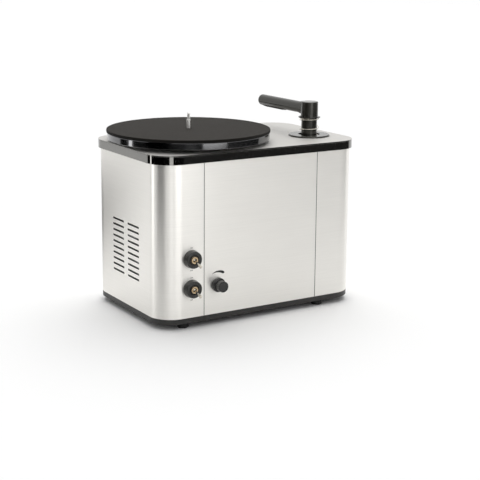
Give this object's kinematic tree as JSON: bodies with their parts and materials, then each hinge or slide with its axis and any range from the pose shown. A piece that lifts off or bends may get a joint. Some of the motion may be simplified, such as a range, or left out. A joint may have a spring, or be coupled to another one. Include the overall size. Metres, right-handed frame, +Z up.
{
  "type": "record cleaning machine",
  "caption": "Rounded metal cabinet with a driven platter and mat, threaded spindle, sprung suction arm, toggle switches, a speed knob, and a waste tank and vacuum motor inside.",
  "frame": {"origin": "on the floor under the middle of the whole machine's box", "axes": "+X to the right seen from the front, +Y towards the rear, +Z up"},
  "size_m": [0.4354, 0.3314, 0.3689],
  "materials": {
    "shell_steel": "upright brushed grain",
    "top_steel": "fine brushed grain",
    "deck_black": "gloss",
    "base_black": "satin",
    "foot_rubber": "matte",
    "platter_black": "gloss",
    "mat_felt": "short felt",
    "polished_steel": "polished",
    "spring_steel": "drawn wire",
    "arm_black": "black anodised",
    "plain_aluminium": "machined",
    "plain_steel": "zinc plated",
    "screw_steel": "dark zinc",
    "bushing_brass": "plated",
    "lever_nickel": "polished nickel",
    "bezel_black": "satin",
    "knob_black": "satin",
    "seal_rubber": "matte",
    "hose_black": "matte",
    "hose_clear": "milky",
    "pad_velvet": "velvet",
    "tank_white": "milky",
    "gear_plastic": "plain",
    "motor_steel": "plated",
    "winding_copper": "varnished",
    "board_green": "coated",
    "socket_black": "plain",
    "lever_red": "plain"
  },
  "bodies": {
    "cabinet": {"base_plate": "base_black", "feet": "foot_rubber", "left_shell": "shell_steel", "right_shell": "shell_steel", "front_panel": "shell_steel", "rear_panel": "shell_steel", "corner_posts": "plain_aluminium", "seam_strips": "plain_steel", "deck_slab": "deck_black", "top_plate": "top_steel", "frame_screws": "screw_steel", "panel_screws": "screw_steel", "bearing_housing": "plain_aluminium", "bearing_bushes": "bushing_brass", "drive_plate": "plain_steel", "drive_spacers": "plain_aluminium", "drive_motor": "motor_steel", "drive_screws": "screw_steel", "arm_flange": "arm_black", "guide_tube": "base_black", "guide_screws": "screw_steel", "guide_seals": "seal_rubber", "lift_spring": "spring_steel", "suction_hose": "hose_black", "waste_tank": "tank_white", "tank_lid": "tank_white", "vacuum_hose": "hose_black", "drain_hose": "hose_clear", "drain_valve": "socket_black", "motor_mount": "seal_rubber", "vacuum_motor": "motor_steel", "fan_housing": "plain_aluminium", "power_inlet": "socket_black", "power_supply": "plain_steel", "control_board": "board_green", "switch_bodies": "bushing_brass", "switch_bezels": "bezel_black", "speed_control": "plain_steel"},
    "turntable": {"spindle": "polished_steel", "drive_hub": "plain_aluminium", "hub_screws": "screw_steel", "platter_gear": "gear_plastic", "platter": "platter_black", "platter_mat": "mat_felt"},
    "pinion": {"drive_pinion": "bushing_brass"},
    "arm_slider": {"spring_washer": "arm_black"},
    "arm": {"suction_tube": "arm_black", "stop_ring": "plain_aluminium", "clip_ring": "arm_black", "elbow_cap": "arm_black", "elbow_screw": "arm_black", "arm_tube": "arm_black", "arm_end_plug": "arm_black", "suction_pads": "pad_velvet"},
    "upper_switch_lever": {"upper_lever": "lever_nickel"},
    "lower_switch_lever": {"lower_lever": "lever_nickel"},
    "speed_knob": {"control_knob": "knob_black"},
    "vacuum_rotor": {"impeller": "plain_aluminium", "armature": "winding_copper"},
    "drain_cock": {"drain_lever": "lever_red"}
  },
  "joints": [
    {"name": "platter_spin", "type": "hinge", "parent": "cabinet", "child": "turntable", "pos_m": [-0.07025, 0.00023, 0.3234], "axis": [0, 0, 1], "continuous": true},
    {"name": "pinion_spin", "type": "hinge", "parent": "cabinet", "child": "pinion", "pos_m": [-0.07025, -0.04477, 0.25], "axis": [0, 0, 1], "continuous": true},
    {"name": "arm_lift", "type": "slide", "parent": "cabinet", "child": "arm_slider", "axis": [0, 0, 1], "range_m": [-0.0124, 0], "stiffness_N_per_m": 500, "springref_m": 0.012, "deforming": ["lift_spring"]},
    {"name": "arm_swing", "type": "hinge", "parent": "arm_slider", "child": "arm", "pos_m": [0.15975, -0.04877, 0.3051], "axis": [0, 0, 1], "range_deg": [-20, 80]},
    {"name": "upper_switch", "type": "hinge", "parent": "cabinet", "child": "upper_switch_lever", "pos_m": [-0.13825, -0.14027, 0.1238], "axis": [-1, 0, 0], "range_deg": [0, 34]},
    {"name": "lower_switch", "type": "hinge", "parent": "cabinet", "child": "lower_switch_lever", "pos_m": [-0.13825, -0.14027, 0.0713], "axis": [-1, 0, 0], "range_deg": [0, 34]},
    {"name": "speed_turn", "type": "hinge", "parent": "cabinet", "child": "speed_knob", "pos_m": [-0.08575, -0.13127, 0.0713], "axis": [0, -1, 0], "range_deg": [-150, 150]},
    {"name": "vacuum_spin", "type": "hinge", "parent": "cabinet", "child": "vacuum_rotor", "pos_m": [-0.11725, 0.05523, 0.1], "axis": [0, 0, 1], "continuous": true},
    {"name": "drain_turn", "type": "hinge", "parent": "cabinet", "child": "drain_cock", "pos_m": [0.09975, 0.14173, 0.0353], "axis": [0, 0, 1], "range_deg": [-90, 0]}
  ],
  "couplings": [
    {"joint": "pinion_spin", "follows": "platter_spin", "ratio": -4}
  ]
}
